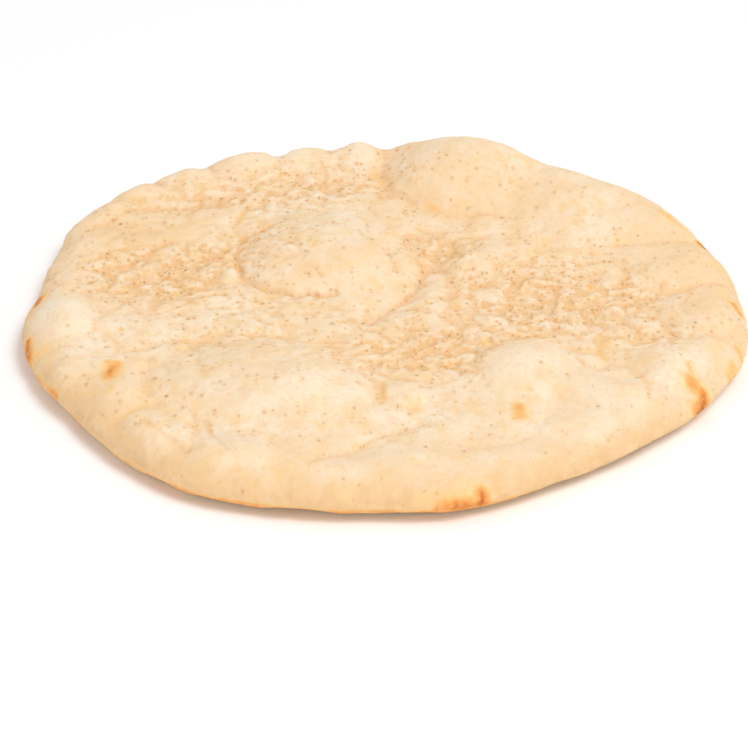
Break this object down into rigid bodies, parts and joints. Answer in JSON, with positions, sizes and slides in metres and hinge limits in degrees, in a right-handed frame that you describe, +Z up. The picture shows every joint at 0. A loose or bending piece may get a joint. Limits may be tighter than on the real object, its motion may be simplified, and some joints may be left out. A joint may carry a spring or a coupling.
{
  "type": "pita bread",
  "caption": "Round flat pita loaf with a soft rolled edge, broad uneven bubbles in its top crust and a flat underside to rest on.",
  "frame": {"origin": "middle of the loaf's outline, at the level of its flat underside", "axes": "+Z up out of the bubbled top crust; +Y towards the edge with the tallest bubble; +X to the right of that"},
  "size_m": [0.1802, 0.1846, 0.0198],
  "materials": {
    "crust": null
  },
  "bodies": {
    "root": {"pita_bread": "crust"}
  },
  "joints": []
}
